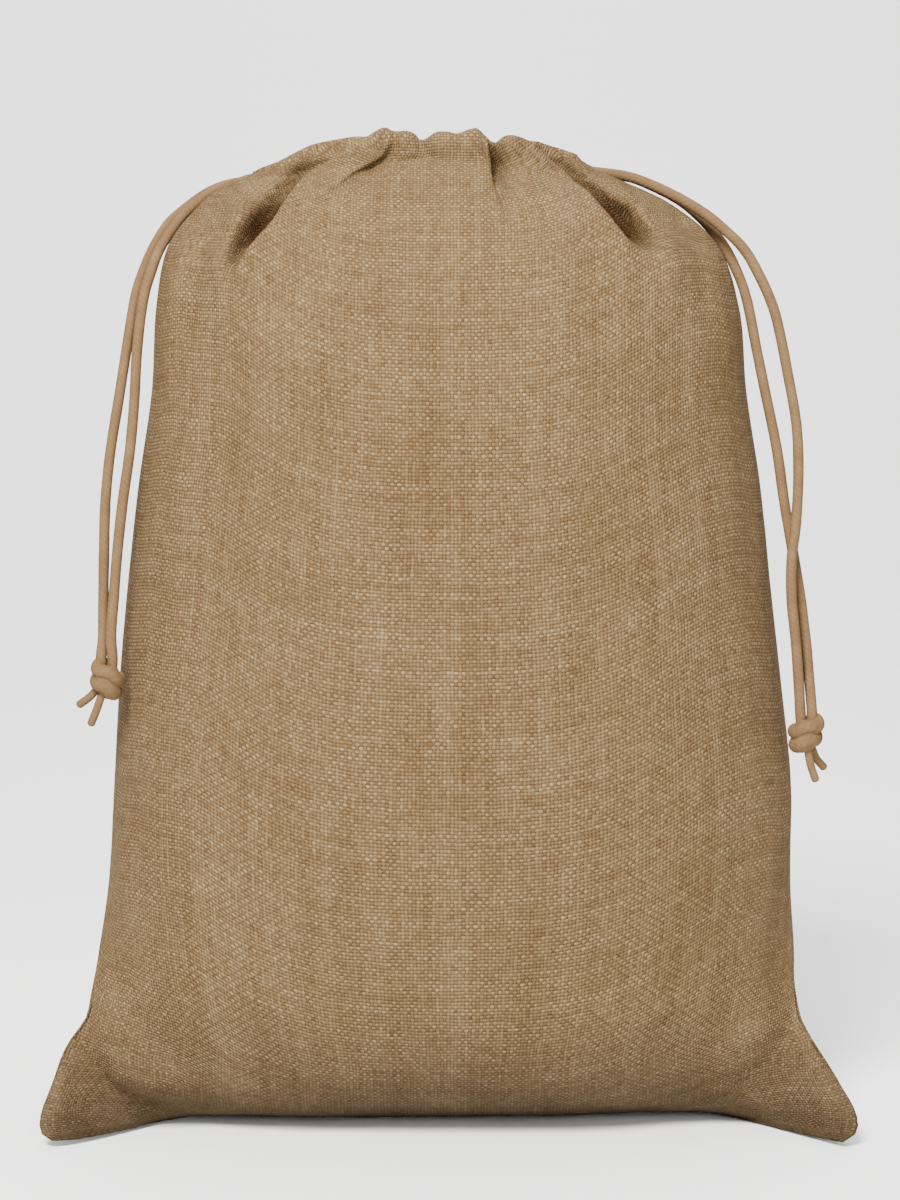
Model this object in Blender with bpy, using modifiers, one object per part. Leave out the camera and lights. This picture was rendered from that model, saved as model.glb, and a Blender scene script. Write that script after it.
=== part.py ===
"""A burlap drawstring sack, stuffed full and standing on its base.

Metres, +Z up. The front of the sack faces -Y, and the origin is on the floor under its middle.
Two rectangular panels of cloth are joined along both sides and along the bottom. Each panel's
top edge is folded inward as a hem that leaves a channel with a cord through it. Both cords leave
their channels at the left end and at the right end, where a knot ties one to the other.
"""
import math
from collections import namedtuple

import bmesh
import bpy
import numpy as np
from mathutils import Vector

# ---------- driving sizes ----------
CLOTH = 0.0018            # thickness of one layer of burlap
GAP = 0.0003              # between pieces that touch
FRONT = -1
BACK = 1

HEM_DEPTH = 0.024         # from the top fold down to the stitch line
CHANNEL_HALF = 0.0036     # half the clear width of the hem's channel
CHANNEL_DEPTH = 0.0125    # straight part of the inner layer, from the fold down
ALLOWANCE = 0.004         # raw edge below the stitch line, inside
STITCH_GAP = 0.0005       # between the two layers of the hem at the stitch line
PUFF_REACH = 0.034        # length of cloth over which the hem's gathers fade downward
CREASE_FADE = 0.012       # length of cloth over which the creases run out into the hem
SEAM_FADE = 0.12          # share of a half panel over which they fade towards the side seams

CORD_RADIUS = 0.0025
CORD_LEVEL = 0.0030       # depth of the cords below the top fold
CORD_SPACING = 0.013      # between the points of a cord
STRAIGHT_STEP = 0.004     # a cord leaves the hem straight, for two of these steps
TAIL_RADIUS = 0.0021
TAIL_SPACING = 0.005
KNOT_SIZE = (0.0086, 0.0076, 0.0088)               # half width, half depth and half height
KNOT_WRAPS = 2.0
KNOT_GROOVE = 0.0009

COLUMNS = 36              # faces across each panel
HEM_ROWS = (0.0, 0.004, 0.008, 0.0125, 0.0175)     # depths of the hem's outer rows below the fold
FOLD_STEPS = 4                                     # faces around the hem's top fold
INNER_ROWS = (0.006, CHANNEL_DEPTH, 0.0180, HEM_DEPTH, HEM_DEPTH + ALLOWANCE)

# ---------- shape of the filled sack, a row for each height ----------
# cloth: length of cloth up from the bottom seam. left, right, left_z, right_z: half width and
# height at each side seam. side_y: the seams' depth. mouth: half the gap between the panels' side
# edges. front_y, front_z, back_y, back_z: middle of each panel. belly: flatness of the middle.
# edge: 0.5 is a round side, over 1 a pinched one.
Section = namedtuple("Section", "cloth left left_z right right_z side_y mouth"
                                " front_y front_z back_y back_z belly edge")
SECTIONS = (
    Section(0.000, 0.1890, 0.0010, 0.1890, 0.0010, -0.0775, 0.0, 0.0105, -0.002, 0.0105, -0.002, 3.0, 1.60),
    Section(0.022, 0.1885, 0.0120, 0.1860, 0.0120, -0.0765, 0.0, -0.0115, -0.002, 0.0345, -0.002, 3.0, 1.45),
    Section(0.046, 0.1830, 0.0260, 0.1795, 0.0260, -0.0705, 0.0, -0.0355, 0.001, 0.0605, -0.002, 2.9, 1.20),
    Section(0.074, 0.1745, 0.0430, 0.1695, 0.0430, -0.0575, 0.0, -0.0615, 0.012, 0.0825, 0.009, 2.8, 0.98),
    Section(0.100, 0.1680, 0.0610, 0.1640, 0.0610, -0.0415, 0.0, -0.0805, 0.028, 0.0945, 0.030, 2.7, 0.80),
    Section(0.128, 0.1650, 0.0820, 0.1625, 0.0820, -0.0275, 0.0, -0.0935, 0.052, 0.1005, 0.058, 2.6, 0.65),
    Section(0.165, 0.1620, 0.1100, 0.1615, 0.1100, -0.0155, 0.0, -0.1005, 0.088, 0.1025, 0.095, 2.5, 0.55),
    Section(0.215, 0.1600, 0.1550, 0.1620, 0.1550, -0.0085, 0.0, -0.1025, 0.137, 0.1025, 0.145, 2.4, 0.50),
    Section(0.265, 0.1575, 0.2040, 0.1580, 0.2040, -0.0065, 0.0, -0.1015, 0.187, 0.1015, 0.195, 2.4, 0.50),
    Section(0.315, 0.1530, 0.2520, 0.1530, 0.2520, -0.0055, 0.0, -0.0995, 0.238, 0.0995, 0.244, 2.3, 0.50),
    Section(0.365, 0.1475, 0.3000, 0.1475, 0.3000, -0.0055, 0.0, -0.0965, 0.288, 0.0955, 0.294, 2.3, 0.50),
    Section(0.410, 0.1410, 0.3440, 0.1405, 0.3440, -0.0045, 0.0, -0.0905, 0.333, 0.0885, 0.338, 2.3, 0.50),
    Section(0.450, 0.1372, 0.3850, 0.1366, 0.3830, -0.0035, 0.0, -0.0805, 0.372, 0.0785, 0.375, 2.3, 0.50),
    Section(0.484, 0.1292, 0.4135, 0.1250, 0.4120, -0.0005, 0.0, -0.0655, 0.403, 0.0665, 0.404, 2.3, 0.50),
    Section(0.514, 0.1130, 0.4285, 0.1015, 0.4290, 0.0035, 0.002, -0.0485, 0.426, 0.0535, 0.426, 2.2, 0.68),
    Section(0.542, 0.0950, 0.4340, 0.0735, 0.4370, 0.0075, 0.009, -0.0315, 0.444, 0.0445, 0.443, 2.1, 1.00),
    Section(0.566, 0.0880, 0.4445, 0.0650, 0.4470, 0.0085, 0.012, -0.0175, 0.4585, 0.0345, 0.4570, 2.0, 1.00),
)
TOP = SECTIONS[-1].cloth

# ---------- gathers of the hem, a row for each puff ----------
# x: place across the mouth. half: half width. out: how far the outer layer stands out there.
# inward: how far the inner layer stands into the mouth. rise: how far the top edge stands up.
Puff = namedtuple("Puff", "x half out inward rise")
PUFFS = {
    FRONT: (
        Puff(-0.0700, 0.0110, 0.0022, 0.0006, 0.0010),
        Puff(-0.0490, 0.0120, 0.0030, 0.0016, 0.0028),
        Puff(-0.0330, 0.0080, 0.0030, 0.0024, 0.0046),
        Puff(-0.0215, 0.0078, 0.0016, 0.0020, 0.0034),
        Puff(-0.0040, 0.0110, 0.0022, 0.0014, 0.0032),
        Puff(0.0115, 0.0090, 0.0034, 0.0022, 0.0042),
        Puff(0.0335, 0.0100, 0.0026, 0.0018, 0.0030),
        Puff(0.0475, 0.0080, 0.0018, 0.0014, 0.0020),
        Puff(0.0590, 0.0060, 0.0022, 0.0006, 0.0014),
    ),
    BACK: (
        Puff(-0.0690, 0.0120, 0.0026, 0.0010, 0.0016),
        Puff(-0.0480, 0.0120, 0.0034, 0.0018, 0.0034),
        Puff(-0.0270, 0.0110, 0.0024, 0.0022, 0.0024),
        Puff(-0.0060, 0.0120, 0.0034, 0.0016, 0.0036),
        Puff(0.0150, 0.0110, 0.0022, 0.0024, 0.0026),
        Puff(0.0350, 0.0110, 0.0034, 0.0012, 0.0032),
        Puff(0.0540, 0.0090, 0.0024, 0.0010, 0.0018),
    ),
}

# ---------- creases that run down from the hem, a row for each ----------
# Top, bend and foot of the crease as seen from the front; depth at the top and at the bend;
# lip: reach of the steep side, towards the middle of the panel. spread: reach of the other side.
Crease = namedtuple("Crease", "top bend foot top_depth depth lip spread")
CREASES = {
    FRONT: (
        Crease((-0.049, 0.458), (-0.083, 0.441), (-0.101, 0.399), 0.002, 0.0320, 0.0060, 0.0150),
        Crease((-0.029, 0.462), (-0.040, 0.452), (-0.070, 0.434), 0.002, 0.0075, 0.0040, 0.0085),
        Crease((0.018, 0.463), (0.016, 0.447), (0.034, 0.424), 0.004, 0.0150, 0.0035, 0.0075),
        Crease((0.038, 0.459), (0.063, 0.440), (0.091, 0.396), 0.002, 0.0320, 0.0060, 0.0150),
        Crease((-0.078, 0.448), (-0.104, 0.442), (-0.134, 0.405), -0.002, -0.0200, 0.0150, 0.0150),
        Crease((0.066, 0.448), (0.085, 0.436), (0.118, 0.395), -0.003, -0.0060, 0.0120, 0.0120),
    ),
    BACK: (
        Crease((-0.056, 0.457), (-0.076, 0.438), (-0.094, 0.392), 0.002, 0.0200, 0.0060, 0.0130),
        Crease((-0.030, 0.460), (-0.036, 0.440), (-0.052, 0.404), 0.003, 0.0150, 0.0050, 0.0110),
        Crease((-0.009, 0.460), (-0.011, 0.442), (-0.008, 0.412), 0.003, 0.0110, 0.0045, 0.0090),
        Crease((0.010, 0.460), (0.017, 0.440), (0.026, 0.400), 0.003, 0.0150, 0.0050, 0.0110),
        Crease((0.030, 0.459), (0.044, 0.440), (0.062, 0.408), 0.003, 0.0130, 0.0045, 0.0095),
        Crease((0.048, 0.456), (0.070, 0.438), (0.092, 0.390), 0.002, 0.0190, 0.0060, 0.0130),
    ),
}

# ---------- free ends of the cords, from the hem down to each knot ----------
STRANDS = {
    ("front", "left"): (
        (-0.1055, 0.0070, 0.4425), (-0.1125, 0.0070, 0.4392), (-0.1185, 0.0060, 0.4352),
        (-0.1258, 0.0033, 0.4290), (-0.1312, 0.0005, 0.4220), (-0.1374, -0.0057, 0.4115),
        (-0.1414, -0.0115, 0.3997), (-0.1443, -0.0155, 0.3881), (-0.1467, -0.0225, 0.3648),
        (-0.1476, -0.0285, 0.3416), (-0.1494, -0.0335, 0.3185), (-0.1525, -0.0375, 0.2954),
        (-0.1550, -0.0405, 0.2722), (-0.1567, -0.0440, 0.2491), (-0.1577, -0.0475, 0.2330),
    ),
    ("back", "left"): (
        (-0.1050, 0.0135, 0.4430), (-0.1135, 0.0137, 0.4400), (-0.1205, 0.0125, 0.4358),
        (-0.1288, 0.0100, 0.4292), (-0.1347, 0.0068, 0.4233), (-0.1412, 0.0005, 0.4117),
        (-0.1457, -0.0055, 0.3998), (-0.1488, -0.0105, 0.3880), (-0.1522, -0.0175, 0.3647),
        (-0.1555, -0.0235, 0.3414), (-0.1590, -0.0285, 0.3182), (-0.1612, -0.0325, 0.2950),
        (-0.1618, -0.0355, 0.2718), (-0.1621, -0.0385, 0.2486), (-0.1620, -0.0420, 0.2325),
    ),
    ("front", "right"): (
        (0.0825, 0.0053, 0.4466), (0.0940, 0.0043, 0.4430), (0.1077, 0.0015, 0.4365),
        (0.1208, -0.0020, 0.4285), (0.1315, -0.0050, 0.4195), (0.1394, -0.0080, 0.4110),
        (0.1456, -0.0115, 0.3998), (0.1508, -0.0145, 0.3881), (0.1542, -0.0175, 0.3764),
        (0.1585, -0.0235, 0.3531), (0.1622, -0.0285, 0.3299), (0.1628, -0.0335, 0.3068),
        (0.1611, -0.0405, 0.2839), (0.1586, -0.0465, 0.2679), (0.1585, -0.0500, 0.2495),
        (0.1604, -0.0515, 0.2311), (0.1618, -0.0525, 0.2130),
    ),
    ("back", "right"): (
        (0.0825, 0.0117, 0.4468), (0.0945, 0.0123, 0.4430), (0.1092, 0.0125, 0.4355),
        (0.1200, 0.0110, 0.4265), (0.1296, 0.0075, 0.4150), (0.1362, 0.0030, 0.4021),
        (0.1408, -0.0030, 0.3880), (0.1450, -0.0100, 0.3645), (0.1494, -0.0165, 0.3411),
        (0.1539, -0.0215, 0.3178), (0.1569, -0.0265, 0.2946), (0.1593, -0.0315, 0.2785),
        (0.1618, -0.0370, 0.2625), (0.1640, -0.0415, 0.2465), (0.1658, -0.0450, 0.2304),
        (0.1671, -0.0475, 0.2150),
    ),
}
KNOTS = {"left": (-0.1597, -0.0485, 0.2122), "right": (0.1655, -0.0530, 0.1874)}
STRAND_APART = 0.0027     # half the distance between the cords where they enter a knot
TAILS = {
    ("front", "left"): ((-0.1640, -0.0515, 0.1995), (-0.1668, -0.0525, 0.1925)),
    ("back", "left"): ((-0.1680, -0.0465, 0.2040), (-0.1728, -0.0465, 0.2005)),
    ("front", "right"): ((0.1672, -0.0560, 0.1745), (0.1697, -0.0565, 0.1668)),
    ("back", "right"): ((0.1708, -0.0485, 0.1755), (0.1745, -0.0475, 0.1712)),
}

COLOURS = {
    "burlap": (0.40, 0.30, 0.19, 1.0),
    "cord": (0.58, 0.43, 0.28, 1.0),
}


# ---------- scene ----------
def clear_scene():
    for thing in list(bpy.data.objects):
        bpy.data.objects.remove(thing, do_unlink=True)


def make_material(name, colour, roughness):
    """A plain Principled material."""
    material = bpy.data.materials.new(name)
    material.use_nodes = True
    shader = material.node_tree.nodes["Principled BSDF"]
    shader.inputs["Base Color"].default_value = colour
    shader.inputs["Roughness"].default_value = roughness
    shader.inputs["Metallic"].default_value = 0.0
    return material


def add_object(name, data, collection, kind, roughness):
    """Link a named object with its own material."""
    thing = bpy.data.objects.new(name, data)
    data.materials.append(make_material(name + "_" + kind, COLOURS[kind], roughness))
    collection.objects.link(thing)
    return thing


# ---------- surface of the filled sack ----------
def section_values(cloth):
    """Read every column of SECTIONS at the cloth lengths given, on a smooth curve."""
    knots = np.array([section.cloth for section in SECTIONS])
    table = np.array([tuple(section) for section in SECTIONS])
    slopes = np.gradient(table, knots, axis=0)
    cloth = np.clip(cloth, knots[0], knots[-1])
    row = np.clip(np.searchsorted(knots, cloth, side="right") - 1, 0, len(knots) - 2)
    width = knots[row + 1] - knots[row]
    share = (cloth - knots[row]) / width
    ease = share * share * (3.0 - 2.0 * share)
    rise = (share * (1.0 - share) ** 2 * width)[..., None] * slopes[row]
    fall = (share * share * (share - 1.0) * width)[..., None] * slopes[row + 1]
    values = table[row] + ease[..., None] * (table[row + 1] - table[row]) + rise + fall
    return Section(*np.moveaxis(values, -1, 0))


def base_point(side, across, cloth):
    """Point of a panel's inner face, without creases: across runs from -1 to 1."""
    section = section_values(cloth)
    sweep = np.sin(0.5 * math.pi * across)
    half = np.where(across < 0.0, section.left, section.right)
    edge_z = np.where(across < 0.0, section.left_z, section.right_z)
    bow = np.clip(1.0 - np.abs(sweep) ** section.belly, 0.0, 1.0) ** section.edge
    middle_y = section.front_y if side == FRONT else section.back_y
    middle_z = section.front_z if side == FRONT else section.back_z
    edge_y = section.side_y + side * (0.5 * GAP + np.maximum(section.mouth, 0.0))
    y = edge_y + (middle_y + side * 0.5 * GAP - edge_y) * bow
    z = edge_z + (middle_z - edge_z) * bow
    return np.stack([half * sweep, y, CLOTH + np.maximum(z, 0.0)], -1)


def unit(vectors):
    return vectors / np.maximum(np.linalg.norm(vectors, axis=-1, keepdims=True), 1e-15)


def base_frame(side, across, cloth):
    """Point, outward normal and upward direction of a panel's base surface."""
    step_across = 0.004
    step_cloth = 0.001
    here = base_point(side, across, cloth)
    right = (base_point(side, np.minimum(across + step_across, 1.0), cloth)
             - base_point(side, np.maximum(across - step_across, -1.0), cloth))
    up = (base_point(side, across, np.minimum(cloth + step_cloth, TOP))
          - base_point(side, across, np.maximum(cloth - step_cloth, 0.0)))
    normal = unit(np.cross(right, up)) * -side
    return here, normal, unit(up)


def crease_depth(side, x, z):
    """Depth of the creases at places seen from the front."""
    total = np.zeros_like(x)
    share = np.linspace(0.0, 1.0, 25)
    for crease in CREASES[side]:
        top, bend, foot = (np.array(point) for point in (crease.top, crease.bend, crease.foot))
        line = (np.outer((1.0 - share) ** 2, top) + np.outer(2.0 * share * (1.0 - share), bend)
                + np.outer(share ** 2, foot))
        tangent = unit(np.gradient(line, axis=0))
        away_x = x[..., None] - line[:, 0]
        away_z = z[..., None] - line[:, 1]
        nearest = np.argmin(away_x ** 2 + away_z ** 2, axis=-1)
        distance = np.sqrt(np.min(away_x ** 2 + away_z ** 2, axis=-1))
        near_x = np.take_along_axis(away_x, nearest[..., None], -1)[..., 0]
        near_z = np.take_along_axis(away_z, nearest[..., None], -1)[..., 0]
        turn = tangent[nearest, 0] * near_z - tangent[nearest, 1] * near_x
        outer = turn * (1.0 if foot[0] > 0.0 else -1.0) > 0.0
        reach = np.where(outer, crease.spread, crease.lip)
        along = share[nearest]
        depth = crease.top_depth * (1.0 - along) ** 2 + 2.0 * crease.depth * along * (1.0 - along)
        total += depth * np.exp(-(distance / reach) ** 2)
    return total


def puff_amount(side, x, kind):
    """How far the hem's gathers stand out, into the mouth ("inward") or up ("rise")."""
    total = np.zeros_like(x)
    for puff in PUFFS[side]:
        offset = np.clip(np.abs(x - puff.x) / puff.half, 0.0, 1.0)
        total = np.maximum(total, getattr(puff, kind) * 0.5 * (1.0 + np.cos(math.pi * offset)))
    return total


def outer_layer(side, across, cloth):
    """Base point, normal and outward shift of the panel's outer layer: creases and puffs."""
    point, normal, _ = base_frame(side, across, cloth)
    below_hem = np.clip((TOP - HEM_DEPTH - cloth) / CREASE_FADE + 1.0, 0.0, 1.0)
    in_hem = np.clip(1.0 - (TOP - cloth) / PUFF_REACH, 0.0, 1.0)
    sides = np.clip((1.0 - np.abs(across)) / SEAM_FADE, 0.0, 1.0)
    inward = crease_depth(side, point[..., 0], point[..., 2]) * below_hem * sides
    outward = puff_amount(side, point[..., 0], "out") * in_hem
    return point, normal, outward - inward


def hem_fold(side, across):
    """Rows around the top fold and down the inner layer of the hem."""
    top, normal, up = base_frame(side, across, np.full_like(across, TOP))
    out = puff_amount(side, top[..., 0], "out")
    inward = puff_amount(side, top[..., 0], "inward")
    top_rise = CHANNEL_HALF + puff_amount(side, top[..., 0], "rise")
    radius = CHANNEL_HALF + 0.5 * (out + inward)
    centre = top + normal * (out - radius)[..., None]
    rows = []
    for step in range(1, FOLD_STEPS):
        angle = math.pi * step / FOLD_STEPS
        rise = top_rise * math.sin(angle)
        rows.append(centre + normal * (radius * math.cos(angle))[..., None] + up * rise[..., None])
    for depth in (0.0,) + INNER_ROWS:
        point, normal, shift = outer_layer(side, across, np.full_like(across, TOP - depth))
        share = np.clip((depth - CHANNEL_DEPTH) / (HEM_DEPTH - CHANNEL_DEPTH), 0.0, 1.0)
        closed = share * share * (3.0 - 2.0 * share)
        open_shift = -2.0 * CHANNEL_HALF - inward
        rows.append(point + normal * (open_shift + (shift - STITCH_GAP - open_shift) * closed)[..., None])
    return rows


# ---------- panels ----------
def body_rows():
    """Cloth lengths of the rows below the hem: close at the base and at the shoulders."""
    base = np.linspace(0.0, 0.128, 8)
    middle = np.linspace(0.165, 0.410, 6)
    shoulder = np.linspace(0.438, TOP - HEM_DEPTH, 10)
    return np.concatenate([base, middle, shoulder])


def make_panel(name, side, collection):
    """One panel: a grid laid on the filled shape, thickened outward."""
    across = np.linspace(-1.0, 1.0, COLUMNS + 1)
    lengths = np.concatenate([body_rows(), TOP - np.array(HEM_ROWS[::-1])])
    rows = []
    for length in lengths:
        point, normal, shift = outer_layer(side, across, np.full_like(across, length))
        rows.append(point + normal * shift[..., None])
    rows += hem_fold(side, across)
    points = np.array(rows)
    mesh = bpy.data.meshes.new(name)
    grid = bmesh.new()
    bmesh.ops.create_grid(grid, x_segments=COLUMNS, y_segments=len(rows) - 1, size=0.5)
    ordered = sorted(grid.verts, key=lambda vert: (round(vert.co.y, 5), round(vert.co.x, 5)))
    for vert, place in zip(ordered, points.reshape(-1, 3)):
        vert.co = Vector(place)
    if side == BACK:
        bmesh.ops.reverse_faces(grid, faces=grid.faces)
    grid.to_mesh(mesh)
    grid.free()
    mesh.shade_smooth()
    panel = add_object(name, mesh, collection, "burlap", 0.9)
    solid = panel.modifiers.new("cloth", "SOLIDIFY")
    solid.thickness = CLOTH
    solid.offset = 1.0
    solid.use_rim = True
    return panel


# ---------- cords ----------
def smooth_route(points, spacing):
    """Points a spacing apart on a smooth curve through the route's own points."""
    route = np.array(points)
    padded = np.vstack([2.0 * route[0] - route[1], route, 2.0 * route[-1] - route[-2]])
    fine = []
    share = np.linspace(0.0, 1.0, 12, endpoint=False)[:, None]
    for before, start, end, after in zip(padded, padded[1:], padded[2:], padded[3:]):
        fine.append(0.5 * (2.0 * start + (end - before) * share
                           + (2.0 * before - 5.0 * start + 4.0 * end - after) * share ** 2
                           + (3.0 * start - before - 3.0 * end + after) * share ** 3))
    fine = np.vstack(fine + [route[-1:]])
    travelled = np.concatenate([[0.0], np.cumsum(np.linalg.norm(np.diff(fine, axis=0), axis=1))])
    count = max(3, int(round(travelled[-1] / spacing)) + 1)
    lead = 0.3 * spacing
    stops = np.linspace(lead, travelled[-1] - lead, count)
    stops = np.concatenate([[0.0], stops, [travelled[-1]]])
    return np.column_stack([np.interp(stops, travelled, fine[:, axis]) for axis in range(3)])


def make_cord(name, route, radius, spacing, collection):
    """A round cord with closed ends along a route."""
    curve = bpy.data.curves.new(name, "CURVE")
    curve.dimensions = "3D"
    curve.bevel_depth = radius
    curve.bevel_resolution = 2
    curve.use_fill_caps = True
    path = smooth_route(route, spacing)
    spline = curve.splines.new("POLY")
    spline.points.add(len(path) - 1)
    for point, place in zip(spline.points, path):
        point.co = (*place, 1.0)
    return add_object(name, curve, collection, "cord", 0.8)


def channel_route(side):
    """Centre line of a cord inside the hem, from the left end to the right end."""
    across = np.linspace(-1.0, 1.0, 15)
    point, normal, _ = base_frame(side, across, np.full_like(across, TOP - CORD_LEVEL))
    return point - normal * CHANNEL_HALF


def strand_route(side, end):
    """Centre line of a free end: out of the hem, along its own points and down to the knot."""
    channel = smooth_route(channel_route(FRONT if side == "front" else BACK), CORD_SPACING)
    last, before = (channel[0], channel[1]) if end == "left" else (channel[-1], channel[-2])
    heading = unit(last - before)
    straight = [last + heading * (GAP + step * STRAIGHT_STEP) for step in range(3)]
    outward = -1.0 if (end == "left") == (side == "back") else 1.0
    centre = np.array(KNOTS[end])
    top = centre + (outward * STRAND_APART, 0.0, KNOT_SIZE[2] + KNOT_GROOVE)
    return np.vstack([*straight, STRANDS[side, end], top])


def knot_skin(direction):
    """Place on a knot's skin, from its centre: a ball with a groove that winds round it."""
    turn = math.atan2(direction[1], direction[0])
    groove = math.cos(turn + KNOT_WRAPS * math.pi * direction[2]) * (1.0 - direction[2] ** 2)
    place = np.array(KNOT_SIZE) * direction
    return place + unit(place) * KNOT_GROOVE * groove


def tail_route(side, end):
    """Centre line of a tail: it starts at the knot's skin and runs through its own points."""
    centre = np.array(KNOTS[end])
    points = np.array(TAILS[side, end])
    start = knot_skin(unit((points[0] - centre) / np.array(KNOT_SIZE)))
    return np.vstack([centre + start + unit(start) * 2.0 * GAP, points])


def make_knot(name, centre, collection):
    """A knot pulled tight."""
    mesh = bpy.data.meshes.new(name)
    ball = bmesh.new()
    bmesh.ops.create_uvsphere(ball, u_segments=14, v_segments=9, radius=1.0)
    for vert in ball.verts:
        vert.co = Vector(np.array(centre) + knot_skin(np.array(vert.co)))
    ball.to_mesh(mesh)
    ball.free()
    mesh.shade_smooth()
    return add_object(name, mesh, collection, "cord", 0.8)


# ---------- the sack ----------
def main():
    clear_scene()
    sack = bpy.data.collections.new("burlap_sack")
    bpy.context.scene.collection.children.link(sack)
    make_panel("front_panel", FRONT, sack)
    make_panel("back_panel", BACK, sack)
    make_cord("drawstring_front_in_hem", channel_route(FRONT), CORD_RADIUS, CORD_SPACING, sack)
    make_cord("drawstring_back_in_hem", channel_route(BACK), CORD_RADIUS, CORD_SPACING, sack)
    for end, centre in KNOTS.items():
        make_knot("knot_" + end, centre, sack)
        for side in ("front", "back"):
            strand = "drawstring_" + side + "_" + end
            make_cord(strand, strand_route(side, end), CORD_RADIUS, CORD_SPACING, sack)
            make_cord("tail_" + side + "_" + end, tail_route(side, end), TAIL_RADIUS, TAIL_SPACING, sack)


main()
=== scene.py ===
"""Looks of the burlap sack: woven cloth, gathered hem, drawstrings, knots and studio light.

Metres, +Z up. The front of the sack faces -Y, and the origin is on the floor under its middle.
Each panel is laid row by row from the bottom seam up to the hem, over the hem's top fold and down
its inner layer. Folds and gathers move it in and sideways, and its threads are in the material.
"""

import math
from collections import namedtuple
from functools import partialmethod

import bpy
import numpy as np
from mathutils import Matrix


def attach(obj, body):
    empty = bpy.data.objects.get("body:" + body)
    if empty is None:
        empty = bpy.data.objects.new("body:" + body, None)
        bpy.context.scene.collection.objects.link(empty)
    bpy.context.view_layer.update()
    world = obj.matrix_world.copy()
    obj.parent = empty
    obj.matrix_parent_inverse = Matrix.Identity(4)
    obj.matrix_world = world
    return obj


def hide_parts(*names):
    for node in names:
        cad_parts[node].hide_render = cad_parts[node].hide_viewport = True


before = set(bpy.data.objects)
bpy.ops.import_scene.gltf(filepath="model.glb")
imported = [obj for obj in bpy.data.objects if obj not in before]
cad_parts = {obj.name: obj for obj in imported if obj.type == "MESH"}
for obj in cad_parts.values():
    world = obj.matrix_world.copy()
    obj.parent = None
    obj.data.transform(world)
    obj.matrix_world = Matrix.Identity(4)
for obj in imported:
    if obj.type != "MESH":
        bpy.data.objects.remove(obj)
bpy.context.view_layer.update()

FRONT = -1
BACK = 1

# ---------- camera and light ----------
CAMERA_PLACE = (0.0, -1.5035, 0.4)
CAMERA_PITCH = 5.9  # degrees downward
CAMERA_LENS = 94.5  # millimetres on a 36 mm frame
# Area lights: place, what they look at, side length, power in watts and colour.
Light = namedtuple("Light", "name place target size power colour")
LIGHTS = (
    Light("key", (-0.5, -1.5, 1.75), (0.0, 0.0, 0.27), 0.75, 175.0, (1.0, 0.985, 0.96)),
    Light("fill", (0.9, -1.9, 0.8), (0.0, 0.0, 0.22), 1.0, 27.0, (0.97, 0.985, 1.0)),
    Light("top", (0.1, 0.3, 1.85), (0.0, 0.0, 0.4), 0.8, 30.0, (1.0, 1.0, 1.0)),
    Light("wall", (0.0, 1.9, 2.6), (0.0, 3.2, 0.8), 1.5, 110.0, (1.0, 1.0, 1.0)),
)
FLOOR_START = -3.5
WALL_START = 2.4  # where the floor starts to curve up
WALL_BEND = 0.8  # radius of that curve
WALL_TOP = 3.5
STAGE_HALF = 4.0  # half width of the floor and the wall
WORLD_COLOUR = (1.0, 1.0, 1.0, 1.0)
WORLD_STRENGTH = 0.32

# ---------- cloth ----------
CLOTH = 0.0018  # thickness of one layer of burlap
SEAM_HALF = -0.0001  # how far each panel's edge stays clear of the seam, here pressed past it
CHANNEL_HALF = 0.0036  # half the clear width of the hem's channel
HEM_DEPTH = 0.024  # from the top fold down to the stitch line
FOLD_ROOM = 0.002  # how far a fold may go back past the plane of its side edges
RIGHT_FULLER = 0.25  # how much less the right ear is pinched at the floor than the left one
FULLER_REACH = 0.05  # length of cloth over which that fades
SEAM_CALM = 0.014  # below this length the cloth faces the way it does here
FLOOR_EASE = 0.0012  # how softly the cloth meets the floor
CALM_BOTTOM = 0.03  # length of cloth over which folds fade toward the bottom seam
EVEN_BOTTOM = 0.05  # and over which the small unevenness does
SIDE_CALM = 0.16  # share of a half panel over which both fade toward the side seam
SEAM_DIP = 0.0009  # how far the side seams draw the cloth in
SEAM_REACH = 0.012  # share of a half panel that the dip takes
SEAM_FADE = 0.02  # length of cloth over which the dip fades toward the hem
ALLOWANCE = 0.004  # raw edge below the stitch line
RISE_ASIDE = 0.15  # share of the cloth's sideways slope that the hem's top fold keeps
RISE_RANGE = (0.0015, 0.016)  # least and greatest rise of the top fold above the layers' ends
STEEPEST = 0.4  # least upward share of the cloth's slope that the rise is worked out from
FOLD_LENGTH = 0.0055 * math.pi  # length of cloth over the hem's top fold
CHANNEL_DEPTH = 0.0125  # straight part of the inner layer
CHANNEL_LEVELS = (0.0, 0.6, 1.2, 1.8)  # where the channel keeps behind the folds, in cord depths
CHANNEL_REACH = 15  # columns on each side over which the channel is smoothed
STITCH_GAP = 0.0005  # between the hem's two layers at the stitch line
COLUMNS = 250  # faces across a panel
BODY_ROWS = 84  # faces up the body, to the shoulder
SHOULDER_ROWS = 70  # faces over the shoulder and the hem
FOLD_ROWS = 10  # faces over the hem's top fold
INNER_ROWS = 14  # rows of points down the hem's inner layer
BODY_CROWDING = 0.9  # under 1, rows lie closer near the bottom seam
SHOULDER = 0.455  # cloth length where the close rows start
FLAT_WIDTH = 0.42  # a panel as it was cut
MID_HEIGHT = 0.26  # cloth length at which the columns are evenly spaced
DRAWN_RANGE = (0.94, 1.12)  # how far the warp threads may spread or close up
CLIMB_MOST = 2.5  # how far the weft threads may spread over a fold
BUILT_SHARE = 0.4  # share of the built lengths in the threads' places up the cloth
WARP_PITCH = 0.00174  # from thread to thread across the sack
WEFT_PITCH = 0.00167  # from thread to thread up the sack
THREAD_HALF = 0.3  # least half width of a thread, in pitches
THREAD_SLUB = 0.34  # what a slub adds to it
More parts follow.
